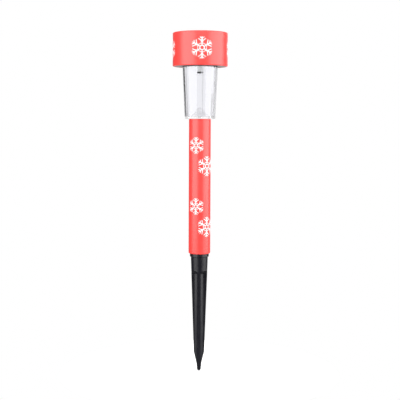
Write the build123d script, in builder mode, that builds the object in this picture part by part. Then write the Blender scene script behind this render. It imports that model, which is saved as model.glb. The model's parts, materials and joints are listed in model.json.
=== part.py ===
from build123d import *
from math import cos, radians, sin
import os

# A solar stake light for a garden bed: a painted steel head with a solar panel in its top, a clear
# fluted lens barrel, a painted steel tube and a plastic ground spike.
#
# Millimetres, +Z up. The origin is on the tube's axis at ground level, where the tube's rolled
# bottom rim stands on the spike's flange. -Y is the front, and the slide switch is at the back.

# ---------------------------------------------------------------- driving dimensions

# Painted steel head sleeve
head_r = 27.5
head_height = 33.6
head_corner_r = 1.0
head_lip = 1.7              # how far the rolled rims reach in from the outside

# Clear lens barrel
lens_height = 52.1          # the part that shows between the tube and the head
lens_top_r = 17.7
lens_bottom_r = 15.3
lens_wall = 2.0
lens_floor = 2.5
lens_corner_r = 0.8
lens_neck_height = 6.5      # the plain neck that stands in the head's socket
lens_neck_step = 0.3
flute_count = 24
flute_depth = 0.2
plug_length = 12.0          # the lens's plug in the tube
plug_wall = 1.6

# Clear light spreader, a flared button on the lens's floor
spreader_base_r = 9.0
spreader_base = 1.2
spreader_waist_r = 3.8
spreader_waist = 5.0        # height above the lens's floor
spreader_flare_r = 3.5
spreader_height = 9.2
spreader_peg_r = 2.0
spreader_peg = 1.5

# Painted steel tube
tube_r = 11.0
tube_length = 135.4
tube_corner_r = 1.4
tube_lip = 1.7

# Ground spike
spike_length = 120.0        # below ground level
spike_plug_length = 22.0
spike_plug_wall = 2.6
spike_plug_taper = 0.8      # how much narrower the plug's leading end is
flange_overlap = 0.25       # how far the flange reaches under the tube's rolled rim
flange_height = 3.0
collar_step = 0.95          # from the flange in to the collar
collar_length = 14.1        # plain round part below the flange
shoulder_r = 5.3            # across the ribs, where the long taper ends
shoulder_drop = 100.2
neck_r = 2.5                # across the ribs, at the end of the short steep taper
neck_drop = 112.0
tip_r = 1.9
rib_thickness = 1.8
flute_inner_r = 4.5         # the wide round between two ribs
flute_top_r = 4.0           # how the flutes run out under the collar

# Walls and gaps
steel_wall = 0.5
plastic_wall = 1.5
sleeve_gap = 0.05           # between the steel skins and the mouldings in them
running_gap = 0.1           # radial gap of parts that lift out by hand
seat_gap = 0.2              # between faces that must not meet before the seat does

# Solar panel
cell_side = 30.0
cell_thickness = 1.2
window_thickness = 0.8
panel_gap = 0.2             # round the panel in its recess
panel_inset = 0.2           # from the bezel's top down to the window
panel_wire_x = 6.0
panel_wire_y = 8.0
skirt_height = 4.0          # the tray's skirt, down to the gasket
busbar_width = 1.2
busbar_spacing = 15.0
busbar_depth = 0.15
finger_width = 0.3
finger_count = 7

# Electronics
battery_r = 5.05            # a two-thirds AAA cell
battery_length = 30.0
battery_y = -12.0
nub_r = 1.9
nub_length = 0.8
spring_room = 3.0
contact_plate = 0.4
contact_width = 8.0
contact_height = 11.2
contact_lift = 0.6          # from the deck up to the contacts' lower edge
contact_dimple = 0.5
spring_wire_r = 0.3
spring_r = 3.2
spring_turns = 3
spring_cone = 30.0          # degrees
bay_wall = 1.2
bay_height = 10.7
board_length = 24.0
board_width = 15.0
board_thickness = 1.0
board_y = 4.0
board_standoff = 2.0
standoff_r = 1.6
standoff_spacing = 18.0
standoff_y = 9.0
peg_r = 0.7
peg_stands_out = 0.4        # above the board
led_r = 2.5
led_length = 9.2
led_flange_r = 2.9
led_flange = 1.0
led_tip_drop = 7.15         # from the head's bottom rim down to the tip of the light source
lead_r = 0.25
lead_spacing = 2.54
lead_bore_r = 1.9           # one bore for both leads
lead_stands_out = 0.8       # above the board
led_boss_skirt = 0.6        # from the light source's flange down to the end of its boss
shade_r = 3.4
shade_height = 1.5
shade_drop = 0.3            # from the light source's tip up to its shade ring
shade_edge_r = 0.6
chip_place = (-6.5, 1.0)
chip_length = 5.1
chip_width = 1.6
chip_height = 4.0
chip_pin_length = 1.0
chip_pin_pitch = 1.27
inductor_place = (4.5, 7.0)
inductor_r = 1.6
inductor_length = 6.5
inductor_rise = 2.0         # axis above the board
inductor_lead_span = 9.0
inductor_lead_r = 0.3
wire_r = 0.6
wire_bend = 1.8
wire_hole_gap = 0.4

# Slide switch
switch_length = 8.6
switch_width = 3.7
switch_height = 3.6
switch_shell = 0.5
switch_travel = 2.0
knob_length = 1.6
knob_width = 1.6
carriage_length = 3.0
carriage_height = 1.6
switch_pin_pitch = 2.5
switch_pin_length = 2.2
switch_pin_width = 0.8
switch_pin_thickness = 0.4

# Screws, from below through the housing into the panel tray
screw_circle_r = 22.2
screw_angles = (30, 150, 270)
screw_r = 1.0
screw_length = 9.0
screw_head_r = 1.9
screw_head_height = 1.4
cross_length = 2.2          # the cross recess in a screw's head
cross_width = 0.5
cross_depth = 0.7
screw_post_r = 2.6
screw_post_height = 7.0
gasket_thickness = 1.0

# ---------------------------------------------------------------- levels and fits

lens_bottom = tube_length
head_bottom = lens_bottom + lens_height
head_top = head_bottom + head_height
lens_top = head_bottom + lens_neck_height
lens_floor_top = lens_bottom + lens_floor

tube_inner_r = tube_r - steel_wall
tube_bore_r = tube_r - tube_lip
lens_plug_r = tube_inner_r - running_gap
spike_plug_r = tube_bore_r - running_gap
flange_r = tube_bore_r + flange_overlap
collar_r = flange_r - collar_step

lens_neck_r = lens_top_r - lens_neck_step
lens_mouth_r = lens_neck_r - lens_wall
socket_r = lens_neck_r + running_gap

rim_bore_r = head_r - head_lip
housing_r = head_r - steel_wall - sleeve_gap
housing_inner_r = housing_r - plastic_wall
housing_bottom = head_bottom + seat_gap
housing_seat = head_bottom + steel_wall
moat_floor = housing_bottom + plastic_wall
deck = lens_top + plastic_wall

tray_top = head_top - steel_wall - sleeve_gap
bezel_top = head_top - sleeve_gap
window_top = bezel_top - panel_inset
cell_top = window_top - window_thickness
cell_bottom = cell_top - cell_thickness
tray_bottom = cell_bottom - plastic_wall
recess_side = cell_side + 2 * panel_gap
gasket_top = tray_bottom - skirt_height
gasket_bottom = gasket_top - gasket_thickness

board_bottom = deck + board_standoff
board_top = board_bottom + board_thickness
battery_z = deck + battery_r + running_gap
led_tip = head_bottom - led_tip_drop
led_top = led_tip + led_length
shade_bottom = led_tip + shade_drop

switch_y = (socket_r + plastic_wall + housing_inner_r) / 2
screw_seat = housing_bottom + screw_head_height + seat_gap
screw_places = [
    (screw_circle_r * cos(radians(angle)), screw_circle_r * sin(radians(angle)))
    for angle in screw_angles
]
standoff_places = [(-standoff_spacing / 2, standoff_y), (standoff_spacing / 2, standoff_y)]
bottom_up = (Align.CENTER, Align.CENTER, Align.MIN)
top_down = (Align.CENTER, Align.CENTER, Align.MAX)

os.makedirs("parts", exist_ok=True)

# ---------------------------------------------------------------- ground spike

# One flute between two ribs: a pocket whose inner corner is a wide round, and whose top runs out in
# a curve.
flute_side = 2 * collar_r
flute_top = -(flange_height + collar_length)
with BuildPart() as spike_flute:
    with BuildSketch(Plane.XY.offset(flute_top)) as flute_section:
        with Locations((rib_thickness / 2, rib_thickness / 2)):
            Rectangle(flute_side, flute_side, align=(Align.MIN, Align.MIN))
        fillet(flute_section.vertices().sort_by_distance((0, 0, 0))[0], flute_inner_r)
    extrude(amount=-spike_length)
    top_edges = spike_flute.faces().sort_by(Axis.Z)[-1].edges()
    fillet(top_edges.sort_by_distance((0, 0, flute_top))[:3], flute_top_r)

with BuildPart() as ground_spike:
    with BuildSketch(Plane.XZ):
        with BuildLine():
            outline = Polyline(
                (0, spike_plug_length),
                (spike_plug_r - spike_plug_taper, spike_plug_length),
                (spike_plug_r, spike_plug_length - 2 * spike_plug_taper),
                (spike_plug_r, 0),
                (flange_r, 0),
                (flange_r, -flange_height),
                (collar_r, -flange_height - collar_step / 2),
                (shoulder_r, -shoulder_drop),
                (neck_r, -neck_drop),
                (tip_r, tip_r - spike_length),
            )
            tip = RadiusArc(outline @ 1, (0, -spike_length), tip_r)
            Line(tip @ 1, outline @ 0)
        make_face()
    revolve(axis=Axis.Z)
    with PolarLocations(0, 4):
        add(spike_flute.part, mode=Mode.SUBTRACT)
    with Locations((0, 0, spike_plug_length)):
        Cylinder(
            spike_plug_r - spike_plug_wall,
            spike_plug_length - plastic_wall,
            align=top_down,
            mode=Mode.SUBTRACT,
        )
ground_spike.part.label = "ground_spike"
export_step(ground_spike.part, "parts/ground_spike.step")

# ---------------------------------------------------------------- tube

# The wall is the skin of a rounded rectangle turned about the axis, opened at the top, with the
# bottom corner left as the rolled rim.
with BuildPart() as pole_tube:
    with BuildSketch(Plane.XZ):
        with Locations((0, tube_length)):
            RectangleRounded(2 * tube_r, 2 * tube_length, tube_corner_r)
            RectangleRounded(
                2 * tube_inner_r,
                2 * (tube_length - steel_wall),
                tube_corner_r - steel_wall,
                mode=Mode.SUBTRACT,
            )
            Rectangle(
                2 * tube_r, 2 * tube_length, align=(Align.CENTER, Align.MIN), mode=Mode.SUBTRACT
            )
        with Locations((tube_bore_r, 0)):
            Rectangle(
                tube_r + tube_bore_r,
                tube_length,
                align=(Align.MAX, Align.MIN),
                mode=Mode.SUBTRACT,
            )
    revolve(axis=Axis.Z)
pole_tube.part.label = "pole_tube"
export_step(pole_tube.part, "parts/pole_tube.step")

# ---------------------------------------------------------------- lens barrel

with BuildPart() as lens_barrel:
    with BuildSketch(Plane.XZ):
        with BuildLine():
            Polyline(
                (0, lens_bottom),
                (lens_bottom_r, lens_bottom),
                (lens_top_r, head_bottom),
                (lens_neck_r, head_bottom),
                (lens_neck_r, lens_top),
                (0, lens_top),
                close=True,
            )
        make_face()
    revolve(axis=Axis.Z)
    fillet(lens_barrel.edges().group_by(Axis.Z)[0], lens_corner_r)

    # The fluted cavity, from the floor up to the head, then the plain mouth in the neck.
    for level, outside_r in ((lens_floor_top, lens_bottom_r), (head_bottom, lens_top_r)):
        ridge_r = outside_r - lens_wall
        half_pitch = radians(180 / flute_count)
        half_chord = ridge_r * sin(half_pitch)
        scallop_r = (half_chord**2 + flute_depth**2) / (2 * flute_depth)
        scallop_centre = ridge_r * cos(half_pitch) + flute_depth - scallop_r
        with BuildSketch(Plane.XY.offset(level)):
            Circle(ridge_r * cos(half_pitch))
            with PolarLocations(scallop_centre, flute_count):
                Circle(scallop_r)
    loft(ruled=True, mode=Mode.SUBTRACT)
    with Locations((0, 0, head_bottom)):
        Cylinder(lens_mouth_r, lens_neck_height, align=bottom_up, mode=Mode.SUBTRACT)

    # The hollow plug that stands in the tube, and the seat of the light spreader.
    with Locations((0, 0, lens_bottom)):
        Cylinder(lens_plug_r, plug_length, align=top_down)
        Cylinder(lens_plug_r - plug_wall, plug_length, align=top_down, mode=Mode.SUBTRACT)
    with Locations((0, 0, lens_floor_top)):
        Cylinder(spreader_peg_r, spreader_peg, align=top_down, mode=Mode.SUBTRACT)
lens_barrel.part.label = "lens_barrel"
export_step(lens_barrel.part, "parts/lens_barrel.step")

with BuildPart() as light_spreader:
    with BuildSketch(Plane.XZ):
        with BuildLine():
            Polyline(
                (0, lens_floor_top - spreader_peg),
                (spreader_peg_r, lens_floor_top - spreader_peg),
                (spreader_peg_r, lens_floor_top),
                (spreader_base_r, lens_floor_top),
                (spreader_base_r, lens_floor_top + spreader_base),
                (spreader_waist_r, lens_floor_top + spreader_waist),
                (spreader_waist_r, lens_floor_top + spreader_height),
                (0, lens_floor_top + spreader_height),
                close=True,
            )
        make_face()
    revolve(axis=Axis.Z)
    circles = light_spreader.edges().filter_by(GeomType.CIRCLE).group_by(Axis.Z)
    fillet(circles[-2], spreader_flare_r)
    fillet(light_spreader.edges().group_by(Axis.Z)[-1], spreader_waist_r * 0.85)
light_spreader.part.label = "light_spreader"
export_step(light_spreader.part, "parts/light_spreader.step")

# ---------------------------------------------------------------- head sleeve

with BuildPart() as head_sleeve:
    with BuildSketch(Plane.XZ):
        with Locations((0, (head_bottom + head_top) / 2)):
            RectangleRounded(2 * head_r, head_height, head_corner_r)
            RectangleRounded(
                2 * (head_r - steel_wall),
                head_height - 2 * steel_wall,
                head_corner_r - steel_wall,
                mode=Mode.SUBTRACT,
            )
        with Locations((rim_bore_r, head_bottom)):
            Rectangle(
                head_r + rim_bore_r, head_height, align=(Align.MAX, Align.MIN), mode=Mode.SUBTRACT
            )
    revolve(axis=Axis.Z)
head_sleeve.part.label = "head_sleeve"
export_step(head_sleeve.part, "parts/head_sleeve.step")

# ---------------------------------------------------------------- housing

# A cup whose floor has a round socket for the lens's neck. Round the socket runs a moat that holds
# the switch and the screw posts, and the socket's ceiling is the deck for the battery and board.
slot_length = knob_length + switch_travel + 2 * seat_gap
slot_width = knob_width + 2 * seat_gap
bay_inside_left = -(battery_length / 2 + spring_room)
bay_inside_right = battery_length / 2 + contact_plate + contact_dimple
bay_width = 2 * (battery_r + seat_gap)
bay_top = deck + bay_height

with BuildPart() as head_housing:
    with BuildSketch(Plane.XZ):
        with BuildLine():
            Polyline(
                (0, lens_top),
                (socket_r, lens_top),
                (socket_r, housing_bottom),
                (rim_bore_r - running_gap, housing_bottom),
                (rim_bore_r - running_gap, housing_seat),
                (housing_r - head_corner_r, housing_seat),
                (housing_r, housing_seat + head_corner_r),
                (housing_r, gasket_bottom),
                (housing_inner_r, gasket_bottom),
                (housing_inner_r, moat_floor),
                (socket_r + plastic_wall, moat_floor),
                (socket_r + plastic_wall, deck),
                (0, deck),
                close=True,
            )
        make_face()
    revolve(axis=Axis.Z)

    # Boss that holds the light source by its flange, with a bore for its leads through the deck.
    with Locations((0, 0, lens_top)):
        Cylinder(
            led_flange_r + plastic_wall,
            lens_top - led_top + led_flange + led_boss_skirt,
            align=top_down,
        )
    with Locations((0, 0, led_top)):
        Cylinder(led_flange_r + sleeve_gap, plastic_wall * 2, align=top_down, mode=Mode.SUBTRACT)
    with Locations((0, 0, led_top)):
        Cylinder(lead_bore_r, deck - led_top, align=bottom_up, mode=Mode.SUBTRACT)

    # Screw posts with counterbored holes from below.
    with Locations(*[(x, y, moat_floor) for x, y in screw_places]):
        Cylinder(screw_post_r, screw_post_height, align=bottom_up)
    with Locations(*[(x, y, housing_bottom) for x, y in screw_places]):
        Cylinder(
            screw_r + running_gap,
            plastic_wall + screw_post_height,
            align=bottom_up,
            mode=Mode.SUBTRACT,
        )
        Cylinder(
            screw_head_r + running_gap,
            screw_seat - housing_bottom,
            align=bottom_up,
            mode=Mode.SUBTRACT,
        )

    # Slot for the switch knob.
    with Locations((0, switch_y, housing_bottom)):
        Box(slot_length, slot_width, plastic_wall, align=bottom_up, mode=Mode.SUBTRACT)

    # End walls of the battery bay, and standoffs with pegs for the board.
    with Locations((bay_inside_left, battery_y, lens_top)):
        Box(bay_wall, bay_width, bay_top - lens_top, align=(Align.MAX, Align.CENTER, Align.MIN))
    with Locations((bay_inside_right, battery_y, lens_top)):
        Box(bay_wall, bay_width, bay_top - lens_top, align=(Align.MIN, Align.CENTER, Align.MIN))
    with Locations(*[(x, y, deck) for x, y in standoff_places]):
        Cylinder(standoff_r, board_standoff, align=bottom_up)
        Cylinder(peg_r, board_standoff + board_thickness + peg_stands_out, align=bottom_up)
head_housing.part.label = "head_housing"
export_step(head_housing.part, "parts/head_housing.step")

with BuildPart() as seal_gasket:
    with BuildSketch(Plane.XY.offset(gasket_bottom)):
        Circle(housing_r)
        Circle(housing_inner_r, mode=Mode.SUBTRACT)
    extrude(amount=gasket_thickness)
seal_gasket.part.label = "seal_gasket"
export_step(seal_gasket.part, "parts/seal_gasket.step")

# ---------------------------------------------------------------- panel tray and solar panel

with BuildPart() as panel_tray:
    with BuildSketch(Plane.XY.offset(tray_bottom)):
        Circle(housing_r)
    extrude(amount=tray_top - tray_bottom)
    chamfer(panel_tray.edges().group_by(Axis.Z)[-1], head_corner_r - steel_wall)
    with BuildSketch(Plane.XY.offset(tray_top)):
        Circle(rim_bore_r - running_gap)
    extrude(amount=bezel_top - tray_top)
    with BuildSketch(Plane.XY.offset(gasket_top)):
        Circle(housing_r)
        Circle(housing_inner_r, mode=Mode.SUBTRACT)
    extrude(amount=skirt_height)
    with BuildSketch(Plane.XY.offset(cell_bottom)):
        Rectangle(recess_side, recess_side)
    extrude(amount=bezel_top - cell_bottom, mode=Mode.SUBTRACT)

    # Screw bosses that reach down to the housing's posts, and holes for the panel's wires.
    with Locations(*[(x, y, moat_floor + screw_post_height) for x, y in screw_places]):
        Cylinder(
            screw_post_r, tray_bottom - moat_floor - screw_post_height, align=bottom_up
        )
        Cylinder(screw_r, screw_length, align=bottom_up, mode=Mode.SUBTRACT)
    with Locations(
        (-panel_wire_x, panel_wire_y, tray_bottom), (panel_wire_x, panel_wire_y, tray_bottom)
    ):
        Cylinder(wire_r + wire_hole_gap, plastic_wall, align=bottom_up, mode=Mode.SUBTRACT)
panel_tray.part.label = "panel_tray"
export_step(panel_tray.part, "parts/panel_tray.step")

# The grid printed on the cell: two wide busbars along Y and thin fingers across them.
finger_pitch = (cell_side - 3.0) / (finger_count - 1)
with BuildPart() as solar_grid:
    with BuildSketch(Plane.XY.offset(cell_top)):
        with GridLocations(busbar_spacing, 0, 2, 1):
            Rectangle(busbar_width, cell_side - 2.0)
        with GridLocations(0, finger_pitch, 1, finger_count):
            Rectangle(cell_side - 2.0, finger_width)
    extrude(amount=-busbar_depth)
solar_grid.part.label = "solar_grid"
export_step(solar_grid.part, "parts/solar_grid.step")

with BuildPart() as solar_cell:
    with BuildSketch(Plane.XY.offset(cell_bottom)):
        Rectangle(cell_side, cell_side)
    extrude(amount=cell_thickness)
    add(solar_grid.part, mode=Mode.SUBTRACT)
solar_cell.part.label = "solar_cell"
export_step(solar_cell.part, "parts/solar_cell.step")

with BuildPart() as solar_window:
    with BuildSketch(Plane.XY.offset(cell_top)):
        RectangleRounded(cell_side + panel_gap, cell_side + panel_gap, 0.6)
    extrude(amount=window_thickness)
    chamfer(solar_window.edges().group_by(Axis.Z)[-1], 0.25)
solar_window.part.label = "solar_window"
export_step(solar_window.part, "parts/solar_window.step")

# ---------------------------------------------------------------- light source

with BuildPart() as led:
    with BuildSketch(Plane.XZ):
        with BuildLine():
            dome = CenterArc((0, led_tip + led_r), led_r, -90, 90)
            shaft = Polyline(
                dome @ 1,
                (led_r, led_top - led_flange),
                (led_flange_r, led_top - led_flange),
                (led_flange_r, led_top),
                (0, led_top),
            )
            Line(shaft @ 1, dome @ 0)
        make_face()
    revolve(axis=Axis.Z)
led.part.label = "led"
export_step(led.part, "parts/led.step")

with BuildPart() as led_leads:
    with BuildSketch(Plane.XY.offset(led_top)):
        with GridLocations(lead_spacing, 0, 2, 1):
            Circle(lead_r)
    extrude(amount=board_top - led_top + lead_stands_out)
led_leads.part.label = "led_leads"
export_step(led_leads.part, "parts/led_leads.step")

with BuildPart() as led_shade:
    with BuildSketch(Plane.XY.offset(shade_bottom)):
        Circle(shade_r)
    extrude(amount=shade_height)
    fillet(led_shade.edges().filter_by(GeomType.CIRCLE), shade_edge_r)
    add(led.part, mode=Mode.SUBTRACT)
led_shade.part.label = "led_shade"
export_step(led_shade.part, "parts/led_shade.step")

# ---------------------------------------------------------------- circuit board

with BuildPart() as circuit_board:
    with BuildSketch(Plane.XY.offset(board_bottom)):
        with Locations((0, board_y)):
            RectangleRounded(board_length, board_width, 0.8)
        with Locations(*standoff_places):
            Circle(peg_r + sleeve_gap, mode=Mode.SUBTRACT)
        with GridLocations(lead_spacing, 0, 2, 1):
            Circle(lead_r + running_gap, mode=Mode.SUBTRACT)
    extrude(amount=board_thickness)
circuit_board.part.label = "circuit_board"
export_step(circuit_board.part, "parts/circuit_board.step")

with BuildPart() as driver_chip:
    with Locations((*chip_place, board_top + chip_pin_length)):
        Box(chip_length, chip_width, chip_height, align=bottom_up)
    chamfer(driver_chip.edges().filter_by(Axis.Z).sort_by(Axis.Y)[:2], 0.5)
    with Locations((*chip_place, board_top)):
        with GridLocations(chip_pin_pitch, 0, 4, 1):
            Box(0.45, 0.4, chip_pin_length, align=bottom_up)
driver_chip.part.label = "driver_chip"
export_step(driver_chip.part, "parts/driver_chip.step")

inductor_x, inductor_y = inductor_place
lead_left = inductor_x - inductor_lead_span / 2
lead_right = inductor_x + inductor_lead_span / 2
with BuildPart() as inductor:
    with Locations(Location((*inductor_place, board_top + inductor_rise), (0, 90, 0))):
        Cylinder(inductor_r, inductor_length)
    fillet(inductor.edges(), 0.6)
    with BuildLine() as inductor_lead:
        FilletPolyline(
            (lead_left, inductor_y, board_top),
            (lead_left, inductor_y, board_top + inductor_rise),
            (lead_right, inductor_y, board_top + inductor_rise),
            (lead_right, inductor_y, board_top),
            radius=2 * inductor_lead_r,
        )
    with BuildSketch(Plane(origin=inductor_lead.line @ 0, z_dir=inductor_lead.line % 0)):
        Circle(inductor_lead_r)
    sweep()
inductor.part.label = "inductor"
export_step(inductor.part, "parts/inductor.step")

# ---------------------------------------------------------------- battery

battery_end = battery_length / 2
with BuildPart() as battery_cell:
    with BuildSketch(Plane(origin=(-battery_end, battery_y, battery_z), z_dir=(1, 0, 0))):
        Circle(battery_r)
    extrude(amount=battery_length - nub_length)
    fillet(battery_cell.edges(), 0.5)
    with BuildSketch(
        Plane(origin=(battery_end - nub_length, battery_y, battery_z), z_dir=(1, 0, 0))
    ):
        Circle(nub_r)
    extrude(amount=nub_length)
battery_cell.part.label = "battery_cell"
export_step(battery_cell.part, "parts/battery_cell.step")

# Each end of the bay has a folded sheet contact. The positive one is a plain plate with a dimple,
# the negative one carries a small conical spring of round wire.
with BuildPart() as battery_contact:
    with Locations((bay_inside_right, battery_y, deck + contact_lift)):
        Box(contact_plate, contact_width, contact_height, align=(Align.MAX, Align.CENTER, Align.MIN))
    with BuildSketch(Plane(origin=(battery_end, battery_y, battery_z), z_dir=(1, 0, 0))):
        Circle(nub_r)
    extrude(amount=contact_dimple)
battery_contact.part.label = "battery_contact"
export_step(battery_contact.part, "parts/battery_contact.step")

with BuildPart() as battery_spring:
    with Locations((bay_inside_left, battery_y, deck + contact_lift)):
        Box(contact_plate, contact_width, contact_height, align=(Align.MIN, Align.CENTER, Align.MIN))
    coil_start = bay_inside_left + contact_plate + spring_wire_r / 2
    coil_length = -battery_end - spring_wire_r - coil_start
    with BuildLine() as coil:
        Helix(
            coil_length / spring_turns,
            coil_length,
            spring_r,
            center=(coil_start, battery_y, battery_z),
            direction=(1, 0, 0),
            cone_angle=-spring_cone,
        )
    with BuildSketch(Plane(origin=coil.line @ 0, z_dir=coil.line % 0)):
        Circle(spring_wire_r)
    sweep(is_frenet=True)
battery_spring.part.label = "battery_spring"
export_step(battery_spring.part, "parts/battery_spring.step")

# ---------------------------------------------------------------- slide switch

slider_x = -switch_travel / 2
cavity_length = carriage_length + switch_travel + 2 * running_gap
cavity_width = switch_width - 2 * switch_shell
cavity_height = carriage_height + 2 * running_gap
with BuildPart() as switch_body:
    with Locations((0, switch_y, moat_floor)):
        Box(switch_length, switch_width, switch_height, align=bottom_up)
        Box(cavity_length, cavity_width, cavity_height, align=bottom_up, mode=Mode.SUBTRACT)
    with Locations((0, switch_y, moat_floor + switch_height)):
        with GridLocations(switch_pin_pitch, 0, 3, 1):
            Box(switch_pin_width, switch_pin_thickness, switch_pin_length, align=bottom_up)
switch_body.part.label = "switch_body"
export_step(switch_body.part, "parts/switch_body.step")

with BuildPart() as switch_slider:
    with Locations((slider_x, switch_y, moat_floor + running_gap)):
        Box(
            carriage_length, cavity_width - 2 * running_gap, carriage_height, align=bottom_up
        )
        Box(
            knob_length,
            knob_width,
            plastic_wall,
            align=top_down,
        )
    fillet(switch_slider.faces().sort_by(Axis.Z)[0].edges(), 0.25)
switch_slider.part.label = "switch_slider"
export_step(switch_slider.part, "parts/switch_slider.step")

# ---------------------------------------------------------------- screws

with BuildPart() as housing_screws:
    with Locations(*[(x, y, screw_seat) for x, y in screw_places]):
        Cylinder(screw_head_r, screw_head_height, align=top_down)
        Cylinder(screw_r, screw_length, align=bottom_up)
        with Locations((0, 0, -screw_head_height)):
            for turn in (0, 90):
                Box(
                    cross_length,
                    cross_width,
                    cross_depth,
                    rotation=(0, 0, turn),
                    align=bottom_up,
                    mode=Mode.SUBTRACT,
                )
housing_screws.part.label = "housing_screws"
export_step(housing_screws.part, "parts/housing_screws.step")

# ---------------------------------------------------------------- wires

# Each wire runs from its terminal to a pad on the board, with its turns rounded to a bend.
contact_top = deck + contact_lift + contact_height
contact_right_x = bay_inside_right - contact_plate / 2
contact_left_x = bay_inside_left + contact_plate / 2
contact_wire_y = battery_y + 2.5
battery_wire_z = contact_top + 2.8
panel_wire_mid = (cell_bottom + board_top) / 2
switch_pin_top = moat_floor + switch_height + switch_pin_length
switch_wire_z = board_top + 4.0
wire_routes = {
    "wire_panel_positive": [
        (panel_wire_x, panel_wire_y, cell_bottom),
        (panel_wire_x, panel_wire_y, panel_wire_mid + 2.0),
        (10.0, 3.0, panel_wire_mid - 2.0),
        (10.0, 3.0, board_top),
    ],
    "wire_panel_negative": [
        (-panel_wire_x, panel_wire_y, cell_bottom),
        (-panel_wire_x, panel_wire_y, panel_wire_mid + 2.0),
        (-10.0, 5.0, panel_wire_mid - 2.0),
        (-10.0, 5.0, board_top),
    ],
    "wire_battery_positive": [
        (contact_right_x, contact_wire_y, contact_top),
        (contact_right_x, contact_wire_y, battery_wire_z),
        (8.0, -1.5, battery_wire_z),
        (8.0, -1.5, board_top),
    ],
    "wire_battery_negative": [
        (contact_left_x, contact_wire_y, contact_top),
        (contact_left_x, contact_wire_y, battery_wire_z),
        (-10.5, -1.5, battery_wire_z),
        (-10.5, -1.5, board_top),
    ],
    "wire_switch_common": [
        (0.0, switch_y, switch_pin_top),
        (0.0, switch_y, switch_wire_z + 2.0),
        (-3.0, 10.2, switch_wire_z + 2.0),
        (-3.0, 10.2, board_top),
    ],
    "wire_switch_on": [
        (switch_pin_pitch, switch_y, switch_pin_top),
        (switch_pin_pitch, switch_y, switch_wire_z),
        (3.5, 10.2, switch_wire_z),
        (3.5, 10.2, board_top),
    ],
}
for wire_name, points in wire_routes.items():
    with BuildPart() as wire:
        with BuildLine() as route:
            FilletPolyline(*points, radius=wire_bend)
        with BuildSketch(Plane(origin=route.line @ 0, z_dir=route.line % 0)):
            Circle(wire_r)
        sweep()
    wire.part.label = wire_name
    export_step(wire.part, f"parts/{wire_name}.step")
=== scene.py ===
import json
import math

import bmesh
import bpy
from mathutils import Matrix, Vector


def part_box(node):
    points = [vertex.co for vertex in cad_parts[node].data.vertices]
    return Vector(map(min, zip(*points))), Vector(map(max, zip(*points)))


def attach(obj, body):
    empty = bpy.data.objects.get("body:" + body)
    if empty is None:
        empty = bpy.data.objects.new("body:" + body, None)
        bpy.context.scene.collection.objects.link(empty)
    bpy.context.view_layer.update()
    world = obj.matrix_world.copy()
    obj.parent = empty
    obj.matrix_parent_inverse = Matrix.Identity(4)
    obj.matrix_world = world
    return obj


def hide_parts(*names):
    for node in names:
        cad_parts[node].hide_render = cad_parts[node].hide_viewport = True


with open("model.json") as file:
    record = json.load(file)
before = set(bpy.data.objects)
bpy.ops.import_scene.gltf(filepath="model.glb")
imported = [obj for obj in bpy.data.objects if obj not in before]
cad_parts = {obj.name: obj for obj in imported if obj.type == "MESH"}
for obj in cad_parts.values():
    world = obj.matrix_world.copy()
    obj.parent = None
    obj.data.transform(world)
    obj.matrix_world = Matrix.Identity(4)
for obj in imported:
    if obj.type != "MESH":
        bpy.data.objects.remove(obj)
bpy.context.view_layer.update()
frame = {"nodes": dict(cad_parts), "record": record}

# A solar stake light. The CAD gives every place and size; this script gives the looks: finer skins for
# the two painted steel parts and the clear lens, printed snowflakes, and a finish for every other
# piece. Metres, with the same origin and axes as the CAD.

MM = 0.001


# ---------------------------------------------------------------- measures read from the frame

def node_radii(node):
    """Smallest and largest distance of a CAD node's corners from the Z axis."""
    distances = [math.hypot(v.co.x, v.co.y) for v in frame["nodes"][node].data.vertices]
    return min(distances), max(distances)


def node_levels(node):
    """Lowest and highest level of a CAD node."""
    low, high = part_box(node)
    return low.z, high.z


HEAD_BORE, HEAD_R = node_radii("head_sleeve")
HEAD_LOW, HEAD_TOP = node_levels("head_sleeve")
TUBE_BORE, TUBE_R = node_radii("pole_tube")
TUBE_LOW, TUBE_TOP = node_levels("pole_tube")
LENS_PLUG_LOW, LENS_TOP = node_levels("lens_barrel")
LENS_R = node_radii("lens_barrel")[1]
SPIKE_TIP = node_levels("ground_spike")[0]
LENS_FLOOR = TUBE_TOP + 2.5 * MM
STEEL = 0.5 * MM


# ---------------------------------------------------------------- mesh helpers

def finish_mesh(name, mesh, body, material, sharp_angle=35):
    """Turns a bmesh into a shaded piece that rides on a body.

    Points that meet are merged, and edges left with no face by that are taken out.
    """
    bmesh.ops.remove_doubles(mesh, verts=mesh.verts, dist=1e-7)
    loose = [edge for edge in mesh.edges if not edge.link_faces]
    bmesh.ops.delete(mesh, geom=loose, context="EDGES")
    bmesh.ops.recalc_face_normals(mesh, faces=mesh.faces)
    for face in mesh.faces:
        face.smooth = True
    for edge in mesh.edges:
        if len(edge.link_faces) == 2:
            edge.smooth = edge.calc_face_angle(0) < math.radians(sharp_angle)
    data = bpy.data.meshes.new(name)
    mesh.to_mesh(data)
    mesh.free()
    piece = bpy.data.objects.new(name, data)
    bpy.context.scene.collection.objects.link(piece)
    data.materials.append(material)
    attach(piece, body)
    return piece


def rounded_path(corners, steps=6):
    """Points of a path (r, z) whose corners, each given with a radius, are turned into arcs."""
    points = []
    count = len(corners)
    for index, (r, z, radius) in enumerate(corners):
        here = Vector((r, z))
        if radius <= 0:
            points.append((r, z))
            continue
        before = Vector(corners[index - 1][:2]) - here
        after = Vector(corners[(index + 1) % count][:2]) - here
        half = before.angle(after) / 2
        reach = radius / math.tan(half)
        start = here + before.normalized() * reach
        stop = here + after.normalized() * reach
        for step in range(steps + 1):
            t = step / steps
            curve = (1 - t) ** 2 * start + 2 * t * (1 - t) * here + t * t * stop
            points.append((curve.x, curve.y))
    return points


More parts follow.
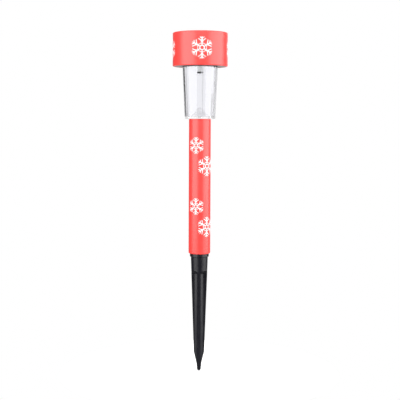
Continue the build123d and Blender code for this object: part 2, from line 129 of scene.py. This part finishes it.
def lathe(path, segments, ripple=None):
    """A closed path (r, z) turned about Z. ripple(angle, index) may push a point outwards."""
    mesh = bmesh.new()
    rings = []
    for segment in range(segments):
        angle = 2 * math.pi * segment / segments
        ring = []
        for index, (r, z) in enumerate(path):
            reach = r + (ripple(angle, index) if ripple else 0)
            ring.append(mesh.verts.new((reach * math.sin(angle), -reach * math.cos(angle), z)))
        rings.append(ring)
    for segment in range(segments):
        here = rings[segment]
        there = rings[(segment + 1) % segments]
        for index in range(len(path)):
            after = (index + 1) % len(path)
            mesh.faces.new((here[index], here[after], there[after], there[index]))
    return mesh


# ---------------------------------------------------------------- materials

class Finish:
    """A node material built on one Principled shader."""

    def __init__(self, name, colour, roughness):
        self.material = bpy.data.materials.new(name)
        self.material.use_nodes = True
        self.nodes = self.material.node_tree.nodes
        self.links = self.material.node_tree.links
        self.shader = self.nodes["Principled BSDF"]
        self.shader.inputs["Base Color"].default_value = (*colour, 1)
        self.shader.inputs["Roughness"].default_value = roughness
        self.place = self.nodes.new("ShaderNodeTexCoord").outputs["Object"]

    def set(self, **values):
        """Sets shader sockets: words in a name are joined by underscores."""
        for name, value in values.items():
            self.shader.inputs[name.replace("_", " ")].default_value = value
        return self

    def stretched(self, scale):
        """Object coordinates scaled by three factors."""
        mapping = self.nodes.new("ShaderNodeMapping")
        mapping.inputs["Scale"].default_value = scale
        self.links.new(self.place, mapping.inputs["Vector"])
        return mapping.outputs["Vector"]

    def noise(self, scale, detail=3.0, stretch=None):
        """Noise of so many grains to the metre; stretch is as in stretched."""
        texture = self.nodes.new("ShaderNodeTexNoise")
        texture.inputs["Scale"].default_value = scale
        texture.inputs["Detail"].default_value = detail
        source = self.stretched(stretch) if stretch else self.place
        self.links.new(source, texture.inputs["Vector"])
        return texture.outputs["Fac"]

    def spread(self, value, low, high, from_low=0.3, from_high=0.7):
        """Maps a value between from_low and from_high to the range low to high."""
        ranges = self.nodes.new("ShaderNodeMapRange")
        ranges.inputs["From Min"].default_value = from_low
        ranges.inputs["From Max"].default_value = from_high
        ranges.inputs["To Min"].default_value = low
        ranges.inputs["To Max"].default_value = high
        self.links.new(value, ranges.inputs["Value"])
        return ranges.outputs["Result"]

    def mixed(self, factor, first, second):
        """Mixes two colours by a value from 0 to 1; each colour is a tuple or a socket."""
        mix = self.nodes.new("ShaderNodeMix")
        mix.data_type = "RGBA"
        self.links.new(factor, mix.inputs["Factor"])
        for socket, colour in ((mix.inputs[6], first), (mix.inputs[7], second)):
            if isinstance(colour, tuple):
                socket.default_value = (*colour, 1)
            else:
                self.links.new(colour, socket)
        return mix.outputs[2]

    def vary_colour(self, value, first, second):
        """Runs the base colour between two colours, by a value from 0 to 1."""
        self.links.new(self.mixed(value, first, second), self.shader.inputs["Base Color"])
        return self

    def vary_roughness(self, value, low, high):
        """Runs the roughness between two values, by a noise value."""
        self.links.new(self.spread(value, low, high), self.shader.inputs["Roughness"])
        return self

    def bump(self, value, depth):
        """Raises the surface in the shading only, by depth metres at a value of 1."""
        node = self.nodes.new("ShaderNodeBump")
        node.inputs["Distance"].default_value = depth
        node.inputs["Strength"].default_value = 1
        self.links.new(value, node.inputs["Height"])
        self.links.new(node.outputs["Normal"], self.shader.inputs["Normal"])
        return self


def enamel():
    """Glossy red paint on steel: a slight orange peel and a slow drift of shade."""
    finish = Finish("red_enamel", (0.83, 0.042, 0.035), 0.4)
    finish.set(Coat_Weight=0.6, Coat_Roughness=0.3, IOR=1.5)
    drift = finish.spread(finish.noise(35, 2), 0, 1)
    finish.vary_colour(drift, (0.82, 0.040, 0.033), (0.84, 0.045, 0.037))
    finish.vary_roughness(finish.noise(400, 2), 0.37, 0.43)
    finish.bump(finish.noise(1500, 2), 0.0006 * MM)
    return finish.material


def print_ink():
    """White screen-print ink, a little uneven where the screen lifted."""
    finish = Finish("print_white", (0.93, 0.90, 0.90), 0.4)
    finish.set(IOR=1.45)
    patches = finish.spread(finish.noise(900, 3), 0, 1)
    finish.vary_colour(patches, (0.95, 0.90, 0.90), (0.90, 0.80, 0.80))
    finish.vary_roughness(finish.noise(1400, 2), 0.34, 0.5)
    finish.bump(finish.noise(4000, 2), 0.003 * MM)
    return finish.material


def clear_plastic():
    """Clear moulded plastic with faint vertical flow lines.

    The lens's floor and its plug, below LENS_FLOOR, are lightly frosted and thinner to the eye.
    """
    finish = Finish("clear_moulding", (0.94, 0.94, 0.965), 0.02)
    finish.set(Transmission_Weight=1.0, IOR=1.49)
    height = finish.nodes.new("ShaderNodeSeparateXYZ")
    finish.links.new(finish.place, height.inputs["Vector"])
    fade_top = LENS_FLOOR + 0.4 * MM
    polish = finish.spread(finish.noise(120, 2), 0.015, 0.04)
    frost = finish.spread(height.outputs["Z"], 0.2, 0, LENS_FLOOR, fade_top)
    presence = finish.spread(height.outputs["Z"], 0.3, 1, LENS_FLOOR, fade_top)
    finish.links.new(presence, finish.shader.inputs["Alpha"])
    roughness = finish.nodes.new("ShaderNodeMath")
    roughness.operation = "MAXIMUM"
    finish.links.new(polish, roughness.inputs[0])
    finish.links.new(frost, roughness.inputs[1])
    finish.links.new(roughness.outputs[0], finish.shader.inputs["Roughness"])
    finish.bump(finish.noise(60, 2, (6, 6, 0.4)), 0.006 * MM)
    return finish.material


def frosted_plastic():
    """Thin clear plastic with an etched skin: a little milk, mostly see-through."""
    finish = Finish("frosted_moulding", (0.97, 0.97, 0.98), 0.45)
    finish.set(Alpha=0.16, IOR=1.45)
    finish.vary_roughness(finish.noise(900, 2), 0.38, 0.52)
    finish.bump(finish.noise(2500, 2), 0.004 * MM)
    return finish.material


def black_moulding():
    """Satin black plastic with a fine spark-eroded grain and faint drag lines."""
    finish = Finish("black_moulding", (0.007, 0.007, 0.011), 0.32)
    finish.set(IOR=1.5)
    cloud = finish.spread(finish.noise(90, 3), 0, 1)
    finish.vary_colour(cloud, (0.005, 0.005, 0.009), (0.009, 0.009, 0.013))
    finish.vary_roughness(finish.noise(500, 3, (1, 1, 0.15)), 0.27, 0.36)
    finish.bump(finish.noise(5000, 2), 0.002 * MM)
    return finish.material


def silicon():
    """Dark blue silicon in grains, each with its own shade and gloss."""
    finish = Finish("silicon_blue", (0.02, 0.04, 0.14), 0.22)
    finish.set(IOR=1.9, Coat_Weight=0.6, Coat_Roughness=0.04)
    cells = finish.nodes.new("ShaderNodeTexVoronoi")
    cells.inputs["Scale"].default_value = 320
    finish.links.new(finish.place, cells.inputs["Vector"])
    shade = finish.nodes.new("ShaderNodeSeparateColor")
    finish.links.new(cells.outputs["Color"], shade.inputs["Color"])
    finish.vary_colour(shade.outputs["Red"], (0.012, 0.022, 0.085), (0.03, 0.06, 0.2))
    finish.vary_roughness(shade.outputs["Green"], 0.18, 0.34)
    return finish.material


def plain(name, colour, second, roughness, metallic=0.0, scale=600, depth=0.004):
    """A small part's finish: two shades, uneven gloss and a fine grain."""
    finish = Finish(name, colour, roughness)
    finish.set(Metallic=metallic)
    finish.vary_colour(finish.spread(finish.noise(scale, 3), 0, 1), colour, second)
    finish.vary_roughness(finish.noise(scale * 1.7, 2), roughness * 0.85, roughness * 1.2)
    finish.bump(finish.noise(scale * 5, 2), depth * MM)
    return finish.material


def resin():
    """Clear potting resin over the cell, poured and slightly wavy."""
    finish = Finish("clear_resin", (0.96, 0.98, 1.0), 0.05)
    finish.set(Transmission_Weight=1.0, IOR=1.5)
    finish.vary_roughness(finish.noise(200, 2), 0.03, 0.09)
    finish.bump(finish.noise(160, 2), 0.02 * MM)
    return finish.material


def led_epoxy():
    """Clear epoxy of the light source, nearly smooth."""
    finish = Finish("led_epoxy", (0.95, 0.96, 0.94), 0.08)
    finish.set(Transmission_Weight=0.85, IOR=1.52)
    finish.vary_roughness(finish.noise(700, 2), 0.05, 0.12)
    return finish.material


FINISHES = {
    "red_paint": enamel(),
    "white_print": print_ink(),
    "clear_plastic": clear_plastic(),
    "frosted_plastic": frosted_plastic(),
    "black_plastic": black_moulding(),
    "seal_rubber": plain("foam_rubber", (0.03, 0.03, 0.03), (0.05, 0.05, 0.05), 0.9, depth=0.03),
    "solar_blue": silicon(),
    "silver_print": plain("silver_lines", (0.72, 0.73, 0.75), (0.6, 0.61, 0.63), 0.35, metallic=0.8),
    "clear_resin": resin(),
    "plated_steel": plain("nickel_plate", (0.66, 0.65, 0.62), (0.58, 0.57, 0.54), 0.3, metallic=1.0),
    "board_laminate": plain("solder_mask", (0.02, 0.16, 0.06), (0.03, 0.22, 0.08), 0.35),
    "chip_black": plain("chip_epoxy", (0.02, 0.02, 0.02), (0.03, 0.03, 0.032), 0.6),
    "inductor_green": plain("dipped_lacquer", (0.12, 0.3, 0.2), (0.16, 0.36, 0.24), 0.3),
    "led_resin": led_epoxy(),
    "battery_wrap": plain("shrink_sleeve", (0.03, 0.22, 0.1), (0.04, 0.26, 0.12), 0.3),
    "switch_black": plain("acetal_black", (0.03, 0.03, 0.03), (0.045, 0.045, 0.045), 0.45),
    "wire_red": plain("red_insulation", (0.5, 0.02, 0.015), (0.58, 0.03, 0.02), 0.45),
    "wire_black": plain("black_insulation", (0.02, 0.02, 0.02), (0.03, 0.03, 0.03), 0.45),
}


def dress_cad_nodes():
    """Gives each CAD node the finish of its material slot."""
    # The CAD's led_shade ring gets its black finish here. It is a dark ring put at the LED's tip,
    # where the clear dome only shows the dark it refracts, so its black is painted shade.
    for row in frame["record"]["subparts"]:
        piece = frame["nodes"][row["node"]]
        piece.data.materials.clear()
        piece.data.materials.append(FINISHES[row["material_slot"]])
        for polygon in piece.data.polygons:
            polygon.material_index = 0


# ---------------------------------------------------------------- camera, floor and light

def make_camera():
    """Just below the top of the tube, square on, and near enough to see the rims curve."""
    down_tilt = 3.2
    roll = 0.25
    data = bpy.data.cameras.new("camera")
    camera = bpy.data.objects.new("camera", data)
    bpy.context.scene.collection.objects.link(camera)
    bpy.context.scene.camera = camera
    data.sensor_width = 36
    data.lens = 85.1
    data.shift_y = -0.05
    data.clip_start = 0.01
    data.clip_end = 20
    camera.location = (0.0001, -0.950, 0.1272)
    camera.rotation_euler = (math.radians(90 - down_tilt), math.radians(-roll), 0)


def make_floor():
    """A pale round floor under the spike's point, bright enough to have no edge.

    What is glossy doesn't mirror it, so that the black spike stays dark down to its point.
    """
    floor_r = 0.14
    floor_gap = 0.5 * MM
    mesh = bmesh.new()
    bmesh.ops.create_circle(mesh, cap_ends=True, segments=96, radius=floor_r)
    data = bpy.data.meshes.new("floor")
    mesh.to_mesh(data)
    mesh.free()
    floor = bpy.data.objects.new("floor", data)
    floor.location = (0, 0, SPIKE_TIP - floor_gap)
    floor.visible_glossy = False
    bpy.context.scene.collection.objects.link(floor)
    finish = Finish("pale_floor", (0.9, 0.9, 0.9), 0.9)
    finish.vary_colour(finish.spread(finish.noise(3, 2), 0, 1), (0.9, 0.9, 0.9), (0.93, 0.93, 0.93))
    finish.set(Emission_Color=(1, 1, 1, 1), Emission_Strength=0.45, Specular_IOR_Level=0.1)
    data.materials.append(finish.material)


def make_softbox(name, azimuth, height, distance, width, tall, radiance):
    """A softbox aimed at the tube, azimuth degrees round from the camera's side, towards +X."""
    data = bpy.data.lights.new(name, "AREA")
    data.shape = "RECTANGLE"
    data.size = width
    data.size_y = tall
    data.energy = radiance * math.pi * width * tall
    light = bpy.data.objects.new(name, data)
    turn = math.radians(azimuth)
    aim = Vector((0, 0, 0.08))
    light.location = (distance * math.sin(turn), -distance * math.cos(turn), height)
    light.rotation_euler = (aim - light.location).to_track_quat("-Z", "Y").to_euler()
    light.visible_camera = False
    light.visible_transmission = False
    bpy.context.scene.collection.objects.link(light)


def make_surroundings():
    """The world as each kind of ray finds it.

    The camera sees plain white. Through the lens there is a white backdrop with a dark flag behind on
    the left. The light that falls on the parts is even. What they mirror is the backdrop behind, and
    elsewhere a sky that is dark near the horizon.
    """
    world = bpy.data.worlds.new("studio")
    bpy.context.scene.world = world
    world.use_nodes = True
    nodes = world.node_tree.nodes
    links = world.node_tree.links
    path = nodes.new("ShaderNodeLightPath").outputs
    way = nodes.new("ShaderNodeTexCoord").outputs["Generated"]

    def ramp_along(axis, start, stop, first, last):
        """A value that goes from first to last as the way out turns towards the axis."""
        dot = nodes.new("ShaderNodeVectorMath")
        dot.operation = "DOT_PRODUCT"
        dot.inputs[1].default_value = axis
        links.new(way, dot.inputs[0])
        ramp = nodes.new("ShaderNodeMapRange")
        ramp.interpolation_type = "SMOOTHSTEP"
        ramp.inputs["From Min"].default_value = start
        ramp.inputs["From Max"].default_value = stop
        ramp.inputs["To Min"].default_value = first
        ramp.inputs["To Max"].default_value = last
        links.new(dot.outputs["Value"], ramp.inputs["Value"])
        return ramp.outputs["Result"]

    def choose(test, otherwise, chosen):
        """The value otherwise where test is 0, chosen where it is 1; each is a number or a socket."""
        mix = nodes.new("ShaderNodeMix")
        links.new(test, mix.inputs["Factor"])
        for socket, value in ((mix.inputs["A"], otherwise), (mix.inputs["B"], chosen)):
            if isinstance(value, float):
                socket.default_value = value
            else:
                links.new(value, socket)
        return mix.outputs["Result"]

    flag_way = (-0.515, 0.857, 0)
    up = (0, 0, 1)
    down = (0, 0, -1)
    behind = (0, 1, 0)
    ground_light = 0.4
    even_light = 0.62
    white = 1.0
    backdrop = ramp_along(flag_way, 0.965, 0.985, 1.0, 0.12)
    sky = ramp_along(up, -0.1, 0.8, 0.06, 0.5)
    sky = choose(ramp_along(down, 0.4, 0.9, 0.0, 1.0), sky, ground_light)
    mirrored = choose(ramp_along(behind, 0.7, 0.95, 0.0, 1.0), sky, backdrop)
    strength = choose(path["Is Diffuse Ray"], mirrored, even_light)
    strength = choose(path["Is Transmission Ray"], strength, backdrop)
    strength = choose(path["Is Camera Ray"], strength, white)
    links.new(strength, nodes["Background"].inputs["Strength"])
    nodes["Background"].inputs["Color"].default_value = (1, 1, 1, 1)
    bpy.context.scene.view_settings.view_transform = "Standard"


# ---------------------------------------------------------------- painted steel skins

def make_head_skin():
    """The drum: an outer face with both rims rolled in to the bore."""
    corner = 1.2 * MM
    cut_edge = 0.2 * MM
    inner = HEAD_R - STEEL
    path = rounded_path([
        (HEAD_R, HEAD_LOW, corner),
        (HEAD_R, HEAD_TOP, corner),
        (HEAD_BORE, HEAD_TOP, cut_edge),
        (HEAD_BORE, HEAD_TOP - STEEL, cut_edge),
        (inner, HEAD_TOP - STEEL, corner - STEEL),
        (inner, HEAD_LOW + STEEL, corner - STEEL),
        (HEAD_BORE, HEAD_LOW + STEEL, cut_edge),
        (HEAD_BORE, HEAD_LOW, cut_edge),
    ])
    mesh = lathe(path, 160)
    skin = finish_mesh("head_skin", mesh, "head", FINISHES["red_paint"])
    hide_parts("head_sleeve")


def make_tube_skin():
    """The tube: plain at the top, rolled in at the bottom to the bore of the rim."""
    corner = 1.4 * MM
    top_edge = 0.15 * MM
    cut_edge = 0.2 * MM
    inner = TUBE_R - STEEL
    path = rounded_path([
        (TUBE_R, TUBE_LOW, corner),
        (TUBE_R, TUBE_TOP, top_edge),
        (inner, TUBE_TOP, top_edge),
        (inner, TUBE_LOW + STEEL, corner - STEEL),
        (TUBE_BORE, TUBE_LOW + STEEL, cut_edge),
        (TUBE_BORE, TUBE_LOW, cut_edge),
    ])
    mesh = lathe(path, 128)
    skin = finish_mesh("tube_skin", mesh, "pole", FINISHES["red_paint"])
    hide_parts("pole_tube")


# ---------------------------------------------------------------- printed snowflakes

def to_segment(x, y, x0, y0, x1, y1, half_width):
    """Signed distance from a bar with round ends."""
    dx = x1 - x0
    dy = y1 - y0
    along = ((x - x0) * dx + (y - y0) * dy) / (dx * dx + dy * dy)
    along = max(0.0, min(1.0, along))
    return math.hypot(x - x0 - along * dx, y - y0 - along * dy) - half_width


def snowflake(x, y):
    """Signed distance from a six-armed snowflake of radius 1: negative in the ink.

    Folded into half of one arm, it is a ring at the centre, a piece of a second ring, the arm itself,
    a heart on it and two side twigs.
    """
    reach = math.hypot(x, y)
    turn = math.atan2(x, y)
    sector = math.pi / 3
    turn = abs((turn + sector / 2) % sector - sector / 2)
    across = reach * math.sin(turn)
    along = reach * math.cos(turn)
    ring = abs(reach - 0.20) - 0.038
    arc = max(abs(reach - 0.40) - 0.030, across - 0.19)
    arm = to_segment(across, along, 0, 0.20, 0, 0.98, 0.032)
    heart = (across / 0.14 + abs(along - 0.60) / 0.17 - 1) * 0.11
    lower = to_segment(across, along, 0.02, 0.58, 0.33, 0.80, 0.034)
    upper = to_segment(across, along, 0, 0.79, 0.18, 0.94, 0.032)
    return min(ring, arc, arm, heart, lower, upper)


def wrapped_print(name, body, wall_r, places, cell):
    """Ink films in the shape of snowflakes, wrapped on a round wall.

    Each place is the angle round from the front, the level and the flake's radius. The outline is
    found on a grid of square cells, cut where the distance changes sign. The ink stands on the wall
    by the film, and its rim is turned down and sunk in the wall by as much.
    """
    film = 0.03 * MM
    margin = 1.02
    least_share = 0.05
    mesh = bmesh.new()
    for angle, level, radius in places:
        steps = math.ceil(margin * radius / cell)
        values = {}
        for i in range(-steps, steps + 1):
            for j in range(-steps, steps + 1):
                values[i, j] = snowflake(i * cell / radius, j * cell / radius)
        corners = {}

        def corner(u, v):
            key = (round(u / cell, 4), round(v / cell, 4))
            if key not in corners:
                turn = math.radians(angle) + u / wall_r
                reach = wall_r + film
                spot = (reach * math.sin(turn), -reach * math.cos(turn), level + v)
                corners[key] = mesh.verts.new(spot)
            return corners[key]

        for i in range(-steps, steps):
            for j in range(-steps, steps):
                square = [(i, j), (i + 1, j), (i + 1, j + 1), (i, j + 1)]
                outline = []
                for index, here in enumerate(square):
                    there = square[(index + 1) % 4]
                    if values[here] < 0:
                        outline.append(corner(here[0] * cell, here[1] * cell))
                    if (values[here] < 0) != (values[there] < 0):
                        share = values[here] / (values[here] - values[there])
                        share = min(1 - least_share, max(least_share, share))
                        u = here[0] + share * (there[0] - here[0])
                        v = here[1] + share * (there[1] - here[1])
                        outline.append(corner(u * cell, v * cell))
                if len(outline) > 2:
                    mesh.faces.new(outline)
    rim = [edge for edge in mesh.edges if edge.is_boundary]
    skirt = bmesh.ops.extrude_edge_only(mesh, edges=rim)
    sunk = [item for item in skirt["geom"] if isinstance(item, bmesh.types.BMVert)]
    for vert in sunk:
        reach = math.hypot(vert.co.x, vert.co.y)
        shrink = (wall_r - film) / reach
        vert.co.x *= shrink
        vert.co.y *= shrink
    return finish_mesh(name, mesh, body, FINISHES["white_print"], sharp_angle=60)


def make_prints():
    """Four flakes round the head; on each side of the tube two rows, each a small and a large one."""
    head_flake_r = 10.9 * MM
    head_turn = 3.7
    head_level = HEAD_LOW + 0.502 * (HEAD_TOP - HEAD_LOW)
    head_places = [(head_turn + 90 * quarter, head_level, head_flake_r) for quarter in range(4)]
    wrapped_print("head_print", "head", HEAD_R, head_places, 0.25 * MM)

    small = 8.3 * MM
    large = 10.05 * MM
    small_turn = -20
    large_turn = 41
    large_drop = 20.6 * MM
    pitch = 60.8 * MM
    top_row = 109.0 * MM
    tube_places = []
    for side in (0, 180):
        for row in range(2):
            level = top_row - row * pitch
            tube_places.append((side + small_turn, level, small))
            tube_places.append((side + large_turn, level - large_drop, large))
    wrapped_print("tube_print", "pole", TUBE_R, tube_places, 0.22 * MM)


# ---------------------------------------------------------------- clear lens

LENS_WALL = 2.0 * MM
LENS_LOW_R = 15.3 * MM
LENS_CORNER = 0.35 * MM
LENS_EDGE = 0.2 * MM
NECK_R = LENS_R - 0.3 * MM
PLUG_R = TUBE_R - STEEL - 0.1 * MM
PLUG_WALL = 1.6 * MM
PEG_R = 2.0 * MM
PEG_DEPTH = 1.5 * MM

FLUTES = 24
POINTS_PER_FLUTE = 20
FLUTE_DEPTH = 0.06 * MM
FLUTE_END_DEPTH = 0.6 * MM
SEAM_ANGLES = [math.radians(8 + 90 * quarter) for quarter in range(4)]
SEAM_HEIGHT = 0.3 * MM
KEY_ANGLE = math.radians(50)
KEY_HEIGHT = 0.6 * MM
KEY_TOP = LENS_FLOOR + 22 * MM
RIB_HALF_ANGLE = math.radians(2.5)


def make_lens():
    """The barrel as one turned skin.

    The inner wall carries shallow flutes, deeper at their upper ends, four thin seams over its full
    height, and one key rib that reaches from the floor to KEY_TOP.
    """
    floor_bevel = 0.1 * MM
    key_slope = 0.3 * MM
    inner_r = LENS_R - LENS_WALL
    flute_foot = (LENS_LOW_R - LENS_WALL, LENS_FLOOR + floor_bevel, 0)
    flute_head = (inner_r, HEAD_LOW - 0.4 * MM, 0)
    # Two rings close together keep the bend of the deeper flute ends out of the wall below them.
    flute_neck = (inner_r - 0.05 * MM, HEAD_LOW - 1.5 * MM, 0)
    below_neck = (inner_r - 0.07 * MM, HEAD_LOW - 1.9 * MM, 0)
    key_share = (KEY_TOP - flute_foot[1]) / (flute_head[1] - flute_foot[1])
    key_r = flute_foot[0] + key_share * (flute_head[0] - flute_foot[0])
    above_key = (key_r, KEY_TOP + key_slope, 0)
    key_head = (key_r, KEY_TOP, 0)
    core_r = PLUG_R - PLUG_WALL
    corners = [
        (LENS_LOW_R, TUBE_TOP, LENS_CORNER),
        (LENS_R, HEAD_LOW, 0.15 * MM),
        (NECK_R, HEAD_LOW, 0),
        (NECK_R, LENS_TOP, LENS_EDGE),
        (NECK_R - LENS_WALL, LENS_TOP, LENS_EDGE),
        (NECK_R - LENS_WALL, HEAD_LOW, 0),
        flute_head,
        flute_neck,
        below_neck,
        above_key,
        key_head,
        flute_foot,
        (flute_foot[0] - floor_bevel, LENS_FLOOR, 0),
        (PEG_R, LENS_FLOOR, 0),
        (PEG_R, LENS_FLOOR - PEG_DEPTH, 0),
        (0, LENS_FLOOR - PEG_DEPTH, 0),
        (0, TUBE_TOP, 0),
        (core_r, TUBE_TOP, 0),
        (core_r, LENS_PLUG_LOW, LENS_EDGE),
        (PLUG_R, LENS_PLUG_LOW, 0.4 * MM),
        (PLUG_R, TUBE_TOP, 0),
    ]
    path = rounded_path(corners)
    wall = (flute_head, flute_neck, below_neck, above_key, key_head, flute_foot)
    fluted = [path.index(corner[:2]) for corner in wall]
    keyed = fluted[4:]

    def rib(angle, rib_angle):
        """1 on a rib's crest, falling to 0 at its foot."""
        away = abs(math.remainder(angle - rib_angle, 2 * math.pi))
        return max(0, 1 - (away / RIB_HALF_ANGLE) ** 2)

    def ripple(angle, index):
        """How far the flutes cut into the wall, less what the seams and the key stand out of it."""
        if index not in fluted:
            return 0
        depth = FLUTE_END_DEPTH if index == fluted[0] else FLUTE_DEPTH
        push = depth * abs(math.sin(angle * FLUTES / 2))
        push -= SEAM_HEIGHT * max(rib(angle, seam) for seam in SEAM_ANGLES)
        if index in keyed:
            push -= KEY_HEIGHT * rib(angle, KEY_ANGLE)
        return push

    mesh = lathe(path, FLUTES * POINTS_PER_FLUTE, ripple)
    lens = finish_mesh("lens_skin", mesh, "lens", FINISHES["clear_plastic"])
    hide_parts("lens_barrel")


# ---------------------------------------------------------------- the whole

make_camera()
make_surroundings()
make_floor()
make_softbox("key_left", -52, height=0.30, distance=1.2, width=1.46, tall=1.2, radiance=3.0)
make_softbox("key_right", 73, height=0.30, distance=1.2, width=1.75, tall=1.2, radiance=3.0)
make_softbox("front_top", 8, height=0.66, distance=1.1, width=0.7, tall=0.6, radiance=1.8)
make_softbox("back_top", 180, height=1.3, distance=0.9, width=0.9, tall=0.6, radiance=1.6)
dress_cad_nodes()
make_head_skin()
make_tube_skin()
make_prints()
make_lens()
